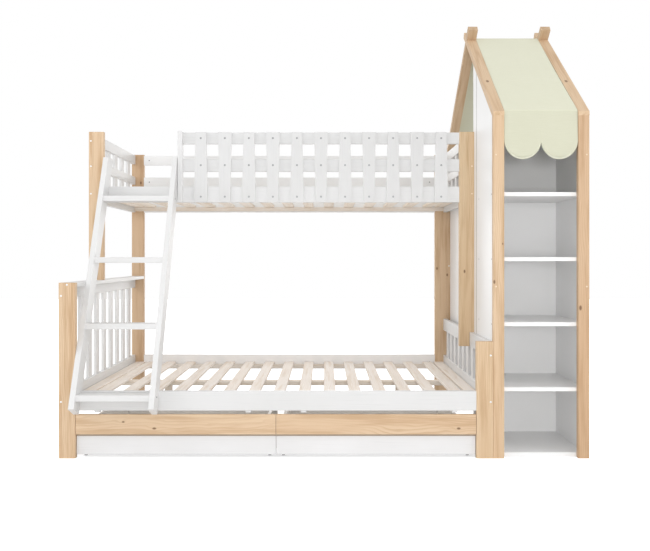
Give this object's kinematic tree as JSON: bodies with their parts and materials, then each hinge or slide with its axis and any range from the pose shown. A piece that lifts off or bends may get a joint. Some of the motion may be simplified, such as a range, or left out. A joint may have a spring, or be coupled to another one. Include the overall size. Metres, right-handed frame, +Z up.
{
  "type": "bunk bed",
  "caption": "Narrow bunk over a wide bunk with a raked ladder, slatted guard rail, rolling drawers below and a house-shaped bookcase under a scalloped cloth awning at one end.",
  "frame": {"origin": "on the floor, under the middle of the whole object's box", "axes": "+X from the headboard towards the bookcase, +Y from the front to the back, +Z up"},
  "size_m": [2.533, 1.598, 2.2555],
  "materials": {
    "natural_wood": "clear matt lacquer on knotty pine",
    "white_paint": "white satin paint on wood",
    "slat_wood": "bare planed pine",
    "canvas": "pale sage cotton canvas",
    "caster_plastic": "grey moulded plastic"
  },
  "bodies": {
    "bed": {"awning": "canvas", "awning_rods": "natural_wood", "back_guard_rails": "white_paint", "back_left_post": "natural_wood", "back_right_post": "natural_wood", "bookcase_back_panel": "white_paint", "bookcase_left_panel": "white_paint", "bookcase_right_panel": "white_paint", "bookcase_shelves": "white_paint", "centre_beam": "slat_wood", "centre_legs": "slat_wood", "footboard_rails": "white_paint", "footboard_slats": "white_paint", "front_rafters": "natural_wood", "guard_pickets": "white_paint", "guard_rails": "white_paint", "guard_stile": "white_paint", "headboard_cap": "white_paint", "headboard_rails": "white_paint", "headboard_slats": "white_paint", "house_front_left_post": "natural_wood", "house_front_right_post": "natural_wood", "house_rear_left_post": "natural_wood", "house_rear_panel": "white_paint", "house_rear_rails": "white_paint", "house_rear_right_post": "natural_wood", "ladder_left_leg": "white_paint", "ladder_right_leg": "white_paint", "ladder_treads": "white_paint", "lower_back_rail": "white_paint", "lower_front_left_post": "natural_wood", "lower_front_rail": "white_paint", "lower_front_right_post": "natural_wood", "lower_slats": "slat_wood", "rail_pads": "white_paint", "rear_rafters": "natural_wood", "slat_ledgers": "slat_wood", "upper_back_rail": "white_paint", "upper_end_rails": "white_paint", "upper_end_slats": "white_paint", "upper_front_left_post": "natural_wood", "upper_front_rail": "white_paint", "upper_front_right_post": "natural_wood", "upper_slats": "slat_wood"},
    "left_drawer": {"left_drawer_back": "white_paint", "left_drawer_caster_forks": "caster_plastic", "left_drawer_fascia": "natural_wood", "left_drawer_floor": "white_paint", "left_drawer_front": "white_paint", "left_drawer_walls": "white_paint"},
    "left_drawer_front_wheels": {"left_drawer_front_wheels": "caster_plastic"},
    "left_drawer_rear_wheels": {"left_drawer_rear_wheels": "caster_plastic"},
    "right_drawer": {"right_drawer_back": "white_paint", "right_drawer_caster_forks": "caster_plastic", "right_drawer_fascia": "natural_wood", "right_drawer_floor": "white_paint", "right_drawer_front": "white_paint", "right_drawer_walls": "white_paint"},
    "right_drawer_front_wheels": {"right_drawer_front_wheels": "caster_plastic"},
    "right_drawer_rear_wheels": {"right_drawer_rear_wheels": "caster_plastic"}
  },
  "joints": [
    {"name": "left_drawer_slide", "type": "slide", "parent": "bed", "child": "left_drawer", "axis": [0, -1, 0], "range_m": [0, 0.6]},
    {"name": "left_drawer_front_wheel_roll", "type": "hinge", "parent": "left_drawer", "child": "left_drawer_front_wheels", "pos_m": [-0.7075, -0.62197, 0.017], "axis": [1, 0, 0], "continuous": true},
    {"name": "left_drawer_rear_wheel_roll", "type": "hinge", "parent": "left_drawer", "child": "left_drawer_rear_wheels", "pos_m": [-0.7075, -0.06897, 0.017], "axis": [1, 0, 0], "continuous": true},
    {"name": "right_drawer_slide", "type": "slide", "parent": "bed", "child": "right_drawer", "axis": [0, -1, 0], "range_m": [0, 0.6]},
    {"name": "right_drawer_front_wheel_roll", "type": "hinge", "parent": "right_drawer", "child": "right_drawer_front_wheels", "pos_m": [0.2485, -0.62197, 0.017], "axis": [1, 0, 0], "continuous": true},
    {"name": "right_drawer_rear_wheel_roll", "type": "hinge", "parent": "right_drawer", "child": "right_drawer_rear_wheels", "pos_m": [0.2485, -0.06897, 0.017], "axis": [1, 0, 0], "continuous": true}
  ],
  "couplings": [
    {"joint": "left_drawer_front_wheel_roll", "follows": "left_drawer_slide", "rad_per_m": 58.824},
    {"joint": "left_drawer_rear_wheel_roll", "follows": "left_drawer_slide", "rad_per_m": 58.824},
    {"joint": "right_drawer_front_wheel_roll", "follows": "right_drawer_slide", "rad_per_m": 58.824},
    {"joint": "right_drawer_rear_wheel_roll", "follows": "right_drawer_slide", "rad_per_m": 58.824}
  ]
}
